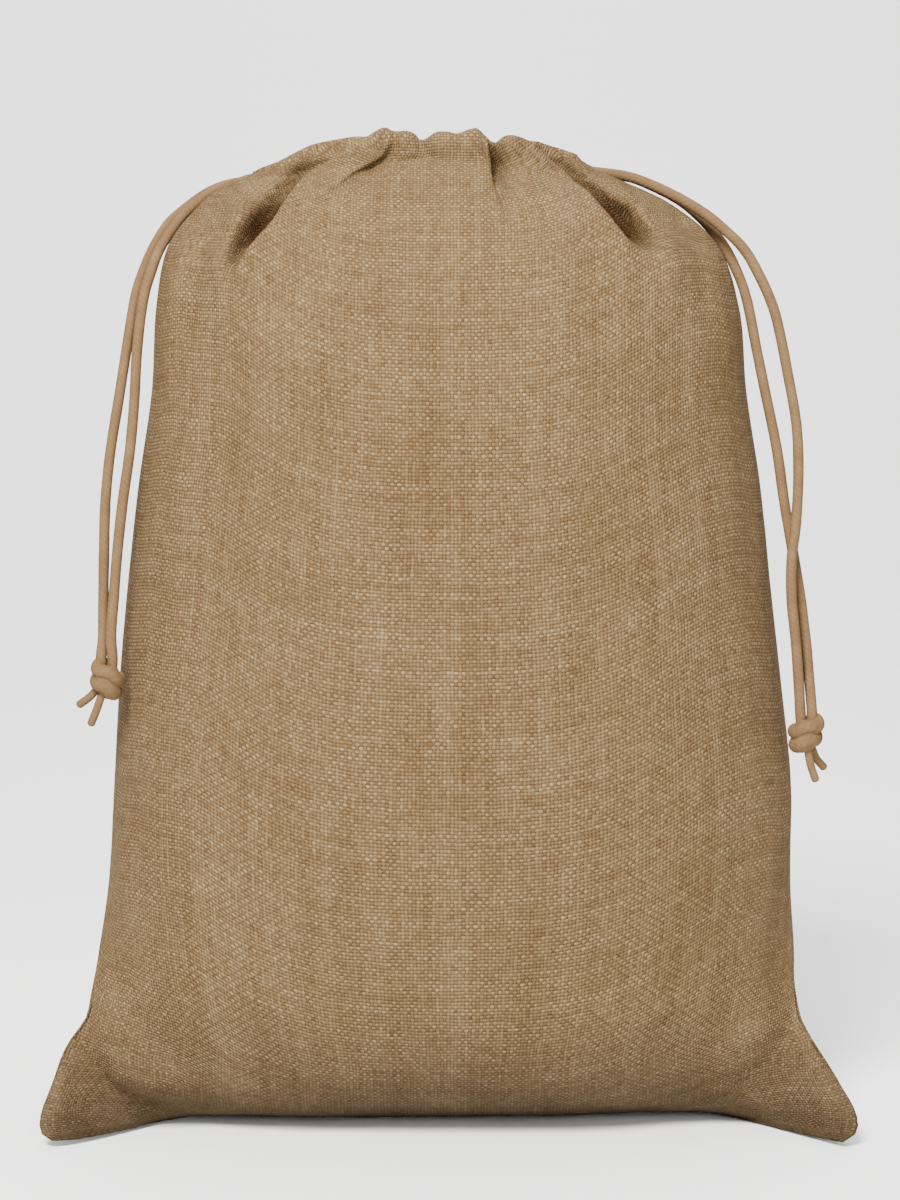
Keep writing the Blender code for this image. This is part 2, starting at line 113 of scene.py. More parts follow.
THREAD_WAVE = 0.62  # rise of a thread over the crossing one, in its own half thicknesses
THREAD_WANDER = 0.9  # how far the threads wander, in pitches
WANDER_SCALE = 90.0  # swings of that to the metre
WEFT_LIGHTER = 0.16  # tone of the weft above that of the warp
NEAR_TONE = 0.6  # shares of a thread's tone: along a stretch of it, along a long one,
FAR_TONE = 0.28  # and over its whole length
WHOLE_TONE = 0.12
CELL_TONE = 0.13  # how much the tone changes from crossing to crossing, in blotches and
BLOTCH_TONE = 0.2  # in bands along the warp
BAND_TONE = 0.26
# painted shade: colour that the cloth is darkened toward deep in its folds
CREASE_SHADE_COLOUR = (0.22, 0.135, 0.075, 1.0)
FLOOR_SHADE_EDGE = 0.03  # how uneven the upper edge of the painted shade near the floor is
FLOOR_SHADE_HEIGHT = 0.07  # painted shade: the cloth's colour is darker below this height, near the floor

# Shape of the filled sack, a row for each length of cloth up from the bottom seam. left, right,
# left_z, right_z: half width and height at each side seam. side_y: the seams' depth. mouth: half
# the gap between the panels' side edges. front_y, front_z, back_y, back_z: middle of each panel.
# belly: flatness of the middle. edge: 0.5 is a round side, over 1 a pinched one.
Section = namedtuple("Section", "cloth left left_z right right_z side_y mouth"
                                " front_y front_z back_y back_z belly edge")
SECTIONS = tuple(Section(*row) for row in (
    (0.0, 0.1835, 0.001, 0.1815, 0.001, -0.086, 0.0, 0.0105, -0.002, 0.0105, -0.002, 3.0, 1.6),
    (0.01, 0.1885, 0.005, 0.1868, 0.005, -0.0855, 0.0, 0.0005, -0.002, 0.0215, -0.002, 3.0, 1.55),
    (0.022, 0.1888, 0.012, 0.1872, 0.012, -0.0835, 0.0, -0.0115, -0.002, 0.0345, -0.002, 3.0, 1.45),
    (0.046, 0.1835, 0.026, 0.1798, 0.0255, -0.0745, 0.0, -0.0355, 0.001, 0.0605, -0.002, 2.9, 1.2),
    (0.074, 0.1755, 0.043, 0.1682, 0.042, -0.0595, 0.0, -0.0615, 0.012, 0.0825, 0.009, 2.8, 0.98),
    (0.082, 0.1708, 0.0485, 0.1648, 0.0475, -0.0535, 0.0, -0.0685, 0.0165, 0.087, 0.015, 2.8, 0.92),
    (0.1, 0.168, 0.061, 0.162, 0.0605, -0.042, 0.0, -0.0805, 0.028, 0.0945, 0.03, 2.7, 0.8),
    (0.128, 0.165, 0.082, 0.162, 0.082, -0.0275, 0.0, -0.0935, 0.052, 0.1005, 0.058, 2.6, 0.65),
    (0.165, 0.1617, 0.11, 0.161, 0.11, -0.0155, 0.0, -0.1005, 0.088, 0.1025, 0.095, 2.5, 0.55),
    (0.215, 0.1592, 0.155, 0.1613, 0.155, -0.0085, 0.0, -0.102, 0.137, 0.1025, 0.145, 2.4, 0.5),
    (0.265, 0.1563, 0.204, 0.1566, 0.204, -0.0065, 0.0, -0.101, 0.187, 0.1015, 0.195, 2.4, 0.5),
    (0.315, 0.1518, 0.252, 0.151, 0.252, -0.0055, 0.0, -0.099, 0.238, 0.0995, 0.244, 2.3, 0.5),
    (0.365, 0.1462, 0.3, 0.1456, 0.3, -0.0055, 0.0, -0.096, 0.288, 0.0955, 0.294, 2.3, 0.5),
    (0.41, 0.1397, 0.344, 0.1388, 0.344, -0.0045, 0.0, -0.09, 0.333, 0.0885, 0.338, 2.3, 0.5),
    (0.45, 0.1372, 0.385, 0.1352, 0.383, -0.0035, 0.0, -0.08, 0.372, 0.0785, 0.375, 2.3, 0.5),
    (0.484, 0.1314, 0.4125, 0.1249, 0.412, -0.0005, 0.0, -0.065, 0.403, 0.0665, 0.404, 2.3, 0.5),
    (0.514, 0.1174, 0.43, 0.1038, 0.43, 0.0035, 0.002, -0.047, 0.4265, 0.0535, 0.426, 2.2, 0.68),
    (0.54, 0.1064, 0.4385, 0.0832, 0.4392, 0.0072, 0.009, -0.0275, 0.443, 0.043, 0.442, 2.1, 0.95),
    (0.553, 0.1003, 0.4418, 0.0725, 0.4432, 0.008, 0.011, -0.0205, 0.45, 0.038, 0.449, 2.0, 0.95),
    (0.566, 0.0935, 0.4435, 0.0615, 0.4485, 0.0085, 0.012, -0.0185, 0.46, 0.035, 0.458, 2.0, 0.95),
))
TOP = SECTIONS[-1].cloth

# Outline of the hem's top fold as seen from the front: x and height.
TOP_EDGE = {FRONT: (
    (-0.104, 0.4425), (-0.0946, 0.4456), (-0.0861, 0.4502), (-0.078, 0.455), (-0.068, 0.4602),
    (-0.059, 0.4624), (-0.052, 0.4636), (-0.045, 0.4644), (-0.04, 0.4644), (-0.0362, 0.4668),
    (-0.0318, 0.4688), (-0.0284, 0.4672), (-0.0245, 0.4668), (-0.0205, 0.467), (-0.0165, 0.4652),
    (-0.0138, 0.462), (-0.0112, 0.4632), (-0.0065, 0.4662), (-0.001, 0.4664), (0.0035, 0.4656),
    (0.0085, 0.4674), (0.0125, 0.4684), (0.015, 0.4672), (0.0175, 0.4644), (0.0215, 0.4612),
    (0.0262, 0.4642), (0.0305, 0.465), (0.035, 0.464), (0.0395, 0.4622), (0.0445, 0.4618),
    (0.049, 0.4602), (0.0533, 0.4586), (0.059, 0.4561), (0.0641, 0.4538), (0.07, 0.45),
), BACK: (
    (-0.104, 0.4415), (-0.0946, 0.444), (-0.086, 0.4475), (-0.078, 0.452), (-0.069, 0.4565),
    (-0.061, 0.458), (-0.052, 0.4606), (-0.044, 0.4612), (-0.037, 0.4598), (-0.028, 0.4628),
    (-0.02, 0.4632), (-0.012, 0.461), (-0.004, 0.4634), (0.004, 0.4636), (0.011, 0.4616),
    (0.02, 0.463), (0.028, 0.462), (0.035, 0.46), (0.044, 0.4598), (0.052, 0.4566), (0.06, 0.453),
    (0.068, 0.449),
)}

# Folds, placed as seen from the front. hollow: 1 where the hollow is on the right of the line where
# one side laps over the other, -1 on the left. ridge: reach of the rounded lap. wall: width of the
# drop beside it. points: the line from the mouth down, as x, height, how far back the hollow goes,
# its width, and how far the cloth laps over it. The shares below are the same for all folds.
Fold = namedtuple("Fold", "hollow ridge wall points")
FOLD_END = 0.004  # how softly a fold runs out past its ends
CREST_SHARE = 0.12  # height of the rounded lap, as a share of the fold's depth
CREST_PLACE = 0.4  # its distance from the line, as a share of the ridge
LAP_REACH = 0.7  # reach of the lap over the hollow, as a share of the wall
SHADED_DEPTH = 0.02  # depth of a fold at which its painted shade is darkest
SHADE_FADE = 1.1  # how fast that shade fades across the hollow
FOLDS = {FRONT: (
    Fold(-1, 0.006, 0.0013, (  # left pocket
        (-0.045, 0.461, 0.0006, 0.002, 0.0), (-0.0502, 0.4555, 0.0018, 0.0024, 0.0),
        (-0.057, 0.4513, 0.0026, 0.0032, 0.0002), (-0.0653, 0.4464, 0.0045, 0.0044, 0.0004),
        (-0.0717, 0.4394, 0.008, 0.006, 0.0006), (-0.077, 0.431, 0.0125, 0.0074, 0.0008),
        (-0.0809, 0.4242, 0.018, 0.0082, 0.0008), (-0.0872, 0.4168, 0.0205, 0.0078, 0.0006),
        (-0.0937, 0.4086, 0.013, 0.0068, 0.0004), (-0.0969, 0.402, 0.006, 0.0058, 0.0),
        (-0.0992, 0.3939, 0.0015, 0.006, 0.0), (-0.101, 0.385, 0.0, 0.006, 0.0))),
    Fold(-1, 0.0035, 0.0014, (  # left upper
        (-0.044, 0.465, 0.0015, 0.0022, 0.0), (-0.0457, 0.46, 0.0026, 0.0024, 0.0002),
        (-0.049, 0.4568, 0.0032, 0.0026, 0.0002), (-0.0552, 0.4547, 0.0024, 0.0026, 0.0),
        (-0.0619, 0.4531, 0.0008, 0.0026, 0.0), (-0.0688, 0.4506, 0.0, 0.0026, 0.0))),
    Fold(1, 0.005, 0.0022, (  # left roll
        (-0.0278, 0.464, 0.002, 0.0024, 0.0), (-0.029, 0.459, 0.0034, 0.003, 0.0002),
        (-0.035, 0.4527, 0.0042, 0.0038, 0.0002), (-0.045, 0.447, 0.0036, 0.0045, 0.0),
        (-0.0548, 0.4392, 0.0022, 0.005, 0.0), (-0.0645, 0.4335, 0.0, 0.005, 0.0))),
    Fold(-1, 0.003, 0.001, (  # collar side
        (-0.0282, 0.469, 0.0022, 0.004, 0.0008), (-0.0299, 0.4617, 0.0034, 0.0045, 0.001),
        (-0.0306, 0.4575, 0.003, 0.004, 0.0008), (-0.0312, 0.4545, 0.0, 0.003, 0.0))),
    Fold(1, 0.005, 0.0011, (  # right pleat
        (0.016, 0.469, 0.003, 0.0032, 0.0004), (0.0167, 0.462, 0.0055, 0.0042, 0.0006),
        (0.0174, 0.4557, 0.0085, 0.0052, 0.0008), (0.0182, 0.4488, 0.012, 0.0056, 0.0008),
        (0.0186, 0.4438, 0.011, 0.0052, 0.0006), (0.0197, 0.439, 0.006, 0.005, 0.0002),
        (0.0233, 0.4301, 0.0028, 0.0055, 0.0), (0.029, 0.423, 0.0, 0.006, 0.0))),
    Fold(1, 0.007, 0.0014, (  # right long
        (0.0345, 0.465, 0.0012, 0.0026, 0.0), (0.0375, 0.4585, 0.0022, 0.0028, 0.0),
        (0.0433, 0.4551, 0.0036, 0.003, 0.0002), (0.0517, 0.4484, 0.0058, 0.0034, 0.0004),
        (0.0573, 0.4416, 0.0085, 0.0038, 0.0008), (0.0644, 0.4347, 0.014, 0.0052, 0.0008),
        (0.0707, 0.4273, 0.0205, 0.0072, 0.0008), (0.0763, 0.4206, 0.024, 0.0085, 0.0006),
        (0.082, 0.4139, 0.019, 0.0085, 0.0004), (0.0868, 0.4104, 0.01, 0.0075, 0.0),
        (0.0909, 0.4081, 0.0035, 0.007, 0.0), (0.096, 0.405, 0.0, 0.007, 0.0))),
    Fold(-1, 0.006, 0.004, (  # left ear crease
        (-0.171, 0.0545, 0.001, 0.005, 0.0), (-0.169, 0.044, 0.0036, 0.0075, 0.0),
        (-0.1655, 0.0335, 0.005, 0.009, 0.0), (-0.156, 0.0255, 0.0046, 0.008, 0.0),
        (-0.142, 0.0205, 0.0028, 0.007, 0.0), (-0.124, 0.018, 0.0, 0.007, 0.0))),
    Fold(1, 0.007, 0.006, (  # right ear crease
        (0.165, 0.059, 0.0005, 0.007, 0.0), (0.159, 0.048, 0.0026, 0.008, 0.0),
        (0.151, 0.0385, 0.0034, 0.008, 0.0), (0.14, 0.0315, 0.0022, 0.008, 0.0),
        (0.126, 0.027, 0.0, 0.008, 0.0))),
), BACK: (
    Fold(-1, 0.006, 0.0016, (  # back left
        (-0.052, 0.464, 0.001, 0.004, 0.0004), (-0.06, 0.45, 0.007, 0.007, 0.0012),
        (-0.076, 0.434, 0.014, 0.009, 0.0018), (-0.09, 0.412, 0.008, 0.009, 0.0006),
        (-0.096, 0.396, 0.0, 0.007, 0.0))),
    Fold(-1, 0.005, 0.0014, (  # back left inner
        (-0.028, 0.468, 0.002, 0.004, 0.0006), (-0.033, 0.45, 0.007, 0.006, 0.0012),
        (-0.04, 0.434, 0.008, 0.007, 0.0008), (-0.052, 0.41, 0.0, 0.007, 0.0))),
    Fold(1, 0.005, 0.0014, (  # back middle
        (-0.006, 0.468, 0.0015, 0.004, 0.0006), (-0.008, 0.45, 0.006, 0.006, 0.001),
        (-0.01, 0.434, 0.006, 0.007, 0.0006), (-0.008, 0.416, 0.0, 0.007, 0.0))),
    Fold(1, 0.005, 0.0014, (  # back right inner
        (0.018, 0.468, 0.002, 0.004, 0.0006), (0.022, 0.45, 0.007, 0.006, 0.0012),
        (0.028, 0.432, 0.0085, 0.0075, 0.001), (0.04, 0.406, 0.0, 0.007, 0.0))),
    Fold(1, 0.006, 0.0016, (  # back right
        (0.04, 0.464, 0.001, 0.004, 0.0004), (0.05, 0.45, 0.0065, 0.007, 0.0012),
        (0.068, 0.434, 0.013, 0.009, 0.0018), (0.084, 0.412, 0.008, 0.009, 0.0006),
        (0.092, 0.394, 0.0, 0.007, 0.0))),
)}

# Gathers of the hem: place across the mouth, reach, and how far each stands out.
PUFFS = {FRONT: (
    (-0.069, 0.009, 0.002), (-0.052, 0.007, 0.0016), (-0.037, 0.005, 0.0022),
    (-0.0225, 0.0055, 0.0018), (-0.0045, 0.007, 0.0026), (0.01, 0.005, 0.0026),
    (0.0285, 0.0065, 0.0028), (0.044, 0.0055, 0.0018), (0.056, 0.005, 0.0012),
), BACK: (
    (-0.069, 0.0085, 0.0022), (-0.046, 0.008, 0.003), (-0.024, 0.007, 0.0024),
    (-0.002, 0.008, 0.003), (0.024, 0.008, 0.0028), (0.046, 0.007, 0.0024),
)}
PUFF_REACH = 0.02  # length of cloth over which the gathers fade downward
CORD_LEVEL = 0.0048  # depth of the cords below the hem's top

# Rolls of cloth beside the folds, and round the ears. points: the crest from the mouth down, as x,
# height, and how far it stands out, or lies back.
Roll = namedtuple("Roll", "reach points")
ROLLS = {FRONT: (
    Roll(0.0085, (  # left crest
        (-0.062, 0.4538, 0.0005), (-0.0789, 0.4456, 0.003), (-0.0953, 0.4338, 0.0055),
        (-0.1026, 0.4171, 0.006), (-0.104, 0.4003, 0.004), (-0.1025, 0.3875, 0.0015),
        (-0.101, 0.376, 0.0))),
    Roll(0.006, (  # left valley
        (-0.106, 0.433, -0.0005), (-0.11, 0.42, -0.003), (-0.1145, 0.408, -0.0042),
        (-0.1175, 0.39, -0.0035), (-0.119, 0.374, -0.0018), (-0.12, 0.356, 0.0))),
    Roll(0.007, (  # right band
        (0.049, 0.46, 0.001), (0.058, 0.45, 0.0026), (0.067, 0.444, 0.004), (0.0801, 0.4359, 0.0055),
        (0.0913, 0.4275, 0.0055), (0.1006, 0.4142, 0.0045), (0.1031, 0.3992, 0.0025),
        (0.103, 0.3862, 0.0008), (0.1025, 0.374, 0.0))),
    Roll(0.0065, (  # left ear valley
        (-0.176, 0.052, -0.002), (-0.174, 0.04, -0.006), (-0.1705, 0.029, -0.008),
        (-0.163, 0.019, -0.0075), (-0.15, 0.014, -0.0045), (-0.134, 0.0125, 0.0))),
    Roll(0.009, (  # left body edge
        (-0.165, 0.064, 0.0), (-0.161, 0.054, 0.005), (-0.157, 0.043, 0.009), (-0.149, 0.0335, 0.01),
        (-0.136, 0.0275, 0.0065), (-0.115, 0.0245, 0.0))),
    Roll(0.008, (  # left ear
        (-0.179, 0.036, 0.001), (-0.181, 0.024, 0.0045), (-0.1825, 0.013, 0.005),
        (-0.183, 0.004, 0.002))),
    Roll(0.008, (  # right ear valley
        (0.166, 0.056, -0.001), (0.163, 0.044, -0.005), (0.1575, 0.034, -0.007),
        (0.148, 0.0255, -0.0055), (0.134, 0.02, 0.0))),
    Roll(0.011, (  # right body edge
        (0.155, 0.068, 0.0), (0.149, 0.057, 0.0045), (0.142, 0.047, 0.007), (0.132, 0.04, 0.005),
        (0.118, 0.036, 0.0))),
    Roll(0.009, (  # right ear
        (0.17, 0.043, 0.0015), (0.175, 0.03, 0.005), (0.18, 0.016, 0.0055), (0.183, 0.005, 0.002))),
    Roll(0.007, (  # right valley
        (0.09, 0.439, -0.0005), (0.104, 0.427, -0.0025), (0.113, 0.413, -0.003),
        (0.117, 0.395, -0.002), (0.118, 0.376, 0.0))),
), BACK: (
    Roll(0.011, (  # back left shoulder
        (-0.085, 0.442, 0.0015), (-0.1, 0.433, 0.005), (-0.116, 0.415, 0.004), (-0.124, 0.398, 0.0))),
    Roll(0.011, (  # back right shoulder
        (0.07, 0.445, 0.001), (0.085, 0.435, 0.0045), (0.1, 0.421, 0.004), (0.11, 0.406, 0.0))),
)}

# Soft dents and swells of the cloth: x, height, reach along and across, tilt from upright in
# degrees, and how far each stands out.
SWELLS = {FRONT: (
    (0.058, 0.43, 0.03, 0.012, 40.0, 0.0015),
    (0.036, 0.444, 0.016, 0.008, 15.0, 0.003),
    (-0.013, 0.459, 0.0075, 0.003, -20.0, -0.0036),
    (-0.018, 0.452, 0.01, 0.003, 80.0, -0.002),
    (-0.106, 0.392, 0.03, 0.007, 12.0, -0.0015),
    (-0.098, 0.38, 0.026, 0.01, 4.0, 0.0012),
    (-0.1, 0.006, 0.025, 0.055, 0.0, 0.006),
    (0.02, 0.04, 0.03, 0.07, 0.0, 0.0015),
), BACK: (
    (-0.15, 0.09, 0.06, 0.02, 20.0, 0.003),
    (0.145, 0.08, 0.06, 0.02, -20.0, 0.003),
)}

# Small unevenness: its height, reach across and along, shift across, and seed.
Wave = namedtuple("Wave", "height across along shift seed")
WAVES = (Wave(0.0011, 0.06, 0.11, 3.0, 5), Wave(0.0007, 0.028, 0.048, 9.0, 15),
         Wave(0.0003, 0.009, 0.011, 0.0, 25))
FINE_WAVES = (Wave(0.00014, 0.0033, 0.003, 0.0, 35),)

# ---------- cords ----------
CORD_RADIUS = 0.0025
TAIL_RADIUS = 0.0019
CORD_UNEVEN = 0.035  # share by which a cord's radius changes along it
CORD_SWING = 0.012  # length of one such change
RUN_ENDS = (-0.97, 0.99)  # where the cord in the hem starts and ends, in half panels
RUN_POINTS = 49
TUBE_SIDES = 20
KNOT_TURNS = 1.9  # turns of cord round a knot
KNOT_COIL = 0.005  # radius of the wound cord's centre line
KNOT_RISE = 0.0062  # from turn to turn
KNOT_WRAP = 0.0034  # radius of the cord where it is wound
KNOT_CORE = 0.0066  # half width of what the turns enclose
KNOT_START = 118.0  # where the turns start, in degrees
KNOT_POINTS = 72  # along the turns
KNOT_FLAT = 0.92  # depth of the turns as a share of their width
KNOT_LEAN = {"left": 17.0, "right": -5.0}
STRANDS = {("front", "left"): (
    (-0.083, 0.0, 0.4452), (-0.0879, 0.0001, 0.4448), (-0.1055, 0.007, 0.4425),
    (-0.1125, 0.007, 0.4392), (-0.1185, 0.006, 0.4352), (-0.1258, 0.0033, 0.429),
    (-0.1312, 0.0005, 0.422), (-0.1374, -0.0057, 0.4115), (-0.1414, -0.0115, 0.3997),
    (-0.1443, -0.0155, 0.3881), (-0.1467, -0.0225, 0.3648), (-0.1476, -0.0285, 0.3416),
    (-0.1494, -0.0335, 0.3185), (-0.1525, -0.0375, 0.2954), (-0.155, -0.0405, 0.2722),
    (-0.1567, -0.044, 0.2491), (-0.1577, -0.0475, 0.233), (-0.157, -0.0485, 0.2219),
    (-0.1575, -0.0485, 0.215),
), ("back", "left"): (
    (-0.083, 0.0168, 0.4458), (-0.088, 0.0167, 0.4454), (-0.105, 0.0135, 0.443),
    (-0.1135, 0.0137, 0.44), (-0.1205, 0.0125, 0.4358), (-0.1288, 0.01, 0.4292),
    (-0.1347, 0.0068, 0.4233), (-0.1412, 0.0005, 0.4117), (-0.1457, -0.0055, 0.3998),
    (-0.1488, -0.0105, 0.388), (-0.1522, -0.0175, 0.3647), (-0.1555, -0.0235, 0.3414),
    (-0.159, -0.0285, 0.3182), (-0.1612, -0.0325, 0.295), (-0.1618, -0.0355, 0.2718),
    (-0.1621, -0.0385, 0.2486), (-0.162, -0.042, 0.2325), (-0.1624, -0.0485, 0.2219),
    (-0.1618, -0.048, 0.215),
), ("front", "right"): (
    (0.056, -0.0005, 0.4492), (0.063, -0.0001, 0.4488), (0.0825, 0.0053, 0.4466),
    (0.094, 0.0043, 0.443), (0.1077, 0.0015, 0.4365), (0.1208, -0.002, 0.4285),
    (0.1315, -0.005, 0.4195), (0.1394, -0.008, 0.411), (0.1456, -0.0115, 0.3998),
    (0.1508, -0.0145, 0.3881), (0.1542, -0.0175, 0.3764), (0.1585, -0.0235, 0.3531),
    (0.1622, -0.0285, 0.3299), (0.1628, -0.0335, 0.3068), (0.1611, -0.0405, 0.2839),
    (0.1586, -0.0465, 0.2679), (0.1585, -0.05, 0.2495), (0.1604, -0.0515, 0.2311),
    (0.1618, -0.0525, 0.213), (0.1628, -0.053, 0.1971), (0.1635, -0.053, 0.1905),
), ("back", "right"): (
    (0.056, 0.017, 0.449), (0.063, 0.0168, 0.4486), (0.0825, 0.0117, 0.4468),
    (0.0945, 0.0123, 0.443), (0.1092, 0.0125, 0.4355), (0.12, 0.011, 0.4265),
    (0.1296, 0.0075, 0.415), (0.1362, 0.003, 0.4021), (0.1408, -0.003, 0.388),
    (0.145, -0.01, 0.3645), (0.1494, -0.0165, 0.3411), (0.1539, -0.0215, 0.3178),
    (0.1569, -0.0265, 0.2946), (0.1593, -0.0315, 0.2785), (0.1618, -0.037, 0.2625),
    (0.164, -0.0415, 0.2465), (0.1658, -0.045, 0.2304), (0.1671, -0.0475, 0.215),
    (0.1682, -0.053, 0.1971), (0.1676, -0.053, 0.1905),
)}
KNOTS = {"left": (-0.1597, -0.0485, 0.2122), "right": (0.1655, -0.053, 0.1874)}
TAILS = {
    ("front", "left"): ((-0.1618, -0.0495, 0.2065), (-0.164, -0.0515, 0.1995),
                        (-0.1668, -0.0525, 0.1925)),
    ("back", "left"): ((-0.164, -0.047, 0.2085), (-0.168, -0.0465, 0.204), (-0.1728, -0.0465, 0.2005)),
    ("front", "right"): ((0.1662, -0.054, 0.1815), (0.1672, -0.056, 0.1745),
                         (0.1697, -0.0565, 0.1668)),
    ("back", "right"): ((0.1685, -0.0505, 0.181), (0.1708, -0.0485, 0.1755), (0.1745, -0.0475, 0.1712)),
}


# ---------- small helpers ----------
def unit(vectors):
    return vectors / np.maximum(np.linalg.norm(vectors, axis=-1, keepdims=True), 1e-15)


def ease(share):
    share = np.clip(share, 0.0, 1.0)
    return share * share * (3.0 - 2.0 * share)


def travelled(points, axis=0):
    """Distance along a path, or along each row of a grid, at each of its points."""
    steps = np.linalg.norm(np.diff(points, axis=axis), axis=-1)
    return np.concatenate([np.zeros_like(steps.take([0], axis)), np.cumsum(steps, axis=axis)], axis)


def smooth_curve(points, steps):
    """Points on a smooth curve through a list of points, with any number of columns."""
    route = np.array(points, dtype=float)
    padded = np.vstack([2.0 * route[0] - route[1], route, 2.0 * route[-1] - route[-2]])
    fine = []
    share = np.linspace(0.0, 1.0, steps, endpoint=False)[:, None]
    for before, start, end, after in zip(padded, padded[1:], padded[2:], padded[3:]):
        fine.append(0.5 * (2.0 * start + (end - before) * share
                           + (2.0 * before - 5.0 * start + 4.0 * end - after) * share ** 2
                           + (3.0 * start - before - 3.0 * end + after) * share ** 3))
    return np.vstack(fine + [route[-1:]])


def value_noise(u, v, seed):
    """Smooth noise from -1 to 1 over a plane, one swell for each unit."""
    table = np.random.RandomState(seed).uniform(-1.0, 1.0, (64, 64))
    column = np.floor(u).astype(int)
    row = np.floor(v).astype(int)
    share_u = ease(u - column)
    share_v = ease(v - row)
    low, high = (table[line % 64, column % 64] * (1.0 - share_u)
                 + table[line % 64, (column + 1) % 64] * share_u for line in (row, row + 1))
    return low * (1.0 - share_v) + high * share_v


def unevenness(waves, side, across, along):
    """Sum of a panel's waves at places on its flat cloth."""
    total = 0.0
    for wave in waves:
        total = total + wave.height * value_noise(across / wave.across + wave.shift,
                                                  along / wave.along, wave.seed + side)
    return total


# ---------- shape of a panel ----------
def section_values(cloth):
    """Read every column of SECTIONS at the cloth lengths given, on a smooth curve."""
    table = np.array(SECTIONS)
    knots = table[:, 0]
    slopes = np.gradient(table, knots, axis=0)
    cloth = np.clip(cloth, knots[0], knots[-1])
    row = np.clip(np.searchsorted(knots, cloth, side="right") - 1, 0, len(knots) - 2)
    width = knots[row + 1] - knots[row]
    share = (cloth - knots[row]) / width
    rise = (share * (1.0 - share) ** 2 * width)[..., None] * slopes[row]
    fall = (share * share * (share - 1.0) * width)[..., None] * slopes[row + 1]
    values = table[row] + ease(share)[..., None] * (table[row + 1] - table[row]) + rise + fall
    return Section(*np.moveaxis(values, -1, 0))


def base_point(side, across, cloth):
    """Point of a panel's inner face, without folds: across runs from -1 to 1."""
    section = section_values(cloth)
    sweep = np.sin(0.5 * math.pi * across)
    half = np.where(across < 0.0, section.left, section.right)
    edge_z = np.where(across < 0.0, section.left_z, section.right_z)
    fuller = RIGHT_FULLER * ease(1.0 - cloth / FULLER_REACH)
    pinch = section.edge * np.where(across > 0.0, 1.0 - fuller, 1.0)
    bow = np.clip(1.0 - np.abs(sweep) ** section.belly, 0.0, 1.0) ** pinch
    middle_y = section.front_y if side == FRONT else section.back_y
    middle_z = section.front_z if side == FRONT else section.back_z
    edge_y = section.side_y + side * (SEAM_HALF + np.maximum(section.mouth, 0.0))
    y = edge_y + (middle_y + side * SEAM_HALF - edge_y) * bow
    z = edge_z + (middle_z - edge_z) * bow
    above_floor = 0.5 * (z + np.hypot(z, FLOOR_EASE))
    return np.stack([half * sweep, y, CLOTH + above_floor], -1)


def base_frame(side, across, cloth):
    """Point, outward normal and upward direction of a panel's base surface."""
    step_across = 0.004
    step_cloth = 0.001
    here = base_point(side, across, cloth)
    guide = np.maximum(cloth, SEAM_CALM)
    right = (base_point(side, np.minimum(across + step_across, 1.0), guide)
             - base_point(side, np.maximum(across - step_across, -1.0), guide))
    up = (base_point(side, across, np.minimum(guide + step_cloth, TOP))
          - base_point(side, across, guide - step_cloth))
    normal = unit(np.cross(right, up)) * -side
    return here, normal, unit(up)


def fold_move(fold, x, z):
    """How far a fold sets places back and draws them aside and upward, and how dark the shade painted
    there is.
    """
    line = smooth_curve(fold.points, 8)
    tangent = unit(np.gradient(line[:, :2], axis=0))
    away_x = x[..., None] - line[:, 0]
    away_z = z[..., None] - line[:, 1]
    near = np.argmin(away_x ** 2 + away_z ** 2, axis=-1)
    near_x = np.take_along_axis(away_x, near[..., None], -1)[..., 0]
    near_z = np.take_along_axis(away_z, near[..., None], -1)[..., 0]
    along_x, along_z = tangent[near, 0], tangent[near, 1]
    depth, wide, lap = line[near, 2], line[near, 3], line[near, 4]
    beyond = near_x * along_x + near_z * along_z
    inside = fold.hollow * (along_x * near_z - along_z * near_x)
    fade = np.exp(-(beyond / FOLD_END) ** 2)
    fallen = ease(inside / fold.wall)
    past = np.maximum(inside - fold.wall, 0.0) / wide
    drop = fallen * np.exp(-past ** 2)
    ridge = np.exp(-((inside + CREST_PLACE * fold.ridge) / fold.ridge) ** 2)
    back = depth * (drop - CREST_SHARE * ridge * (1.0 - fallen)) * fade
    reach = np.where(inside < 0.0, fold.ridge, LAP_REACH * fold.wall)
    pull = lap * np.exp(-(inside / reach) ** 2) * fade
    # painted shade, darkest just past the fold's wall where the fold is deep
    shade = np.clip(depth / SHADED_DEPTH, 0.0, 1.0) * fallen * np.exp(-SHADE_FADE * past ** 2) * fade
    return back, -fold.hollow * along_z * pull, fold.hollow * along_x * pull, shade


def roll_out(side, x, z):
    """How far the rolls of cloth stand out at places seen from the front."""
    total = np.zeros_like(x)
    for roll in ROLLS[side]:
        line = smooth_curve(roll.points, 8)
        gap = (x[..., None] - line[:, 0]) ** 2 + (z[..., None] - line[:, 1]) ** 2
        near = np.argmin(gap, axis=-1)
        total += line[near, 2] * np.exp(-np.min(gap, axis=-1) / roll.reach ** 2)
    return total


def swell_out(side, x, z):
    """How far the soft dents and swells stand out there."""
    total = np.zeros_like(x)
    for place_x, place_z, length, width, tilt, out in SWELLS[side]:
        turn = math.radians(tilt)
        along = (x - place_x) * math.sin(turn) + (z - place_z) * math.cos(turn)
        aside = (x - place_x) * math.cos(turn) - (z - place_z) * math.sin(turn)
        total += out * np.exp(-(along / length) ** 2 - (aside / width) ** 2)
    return total


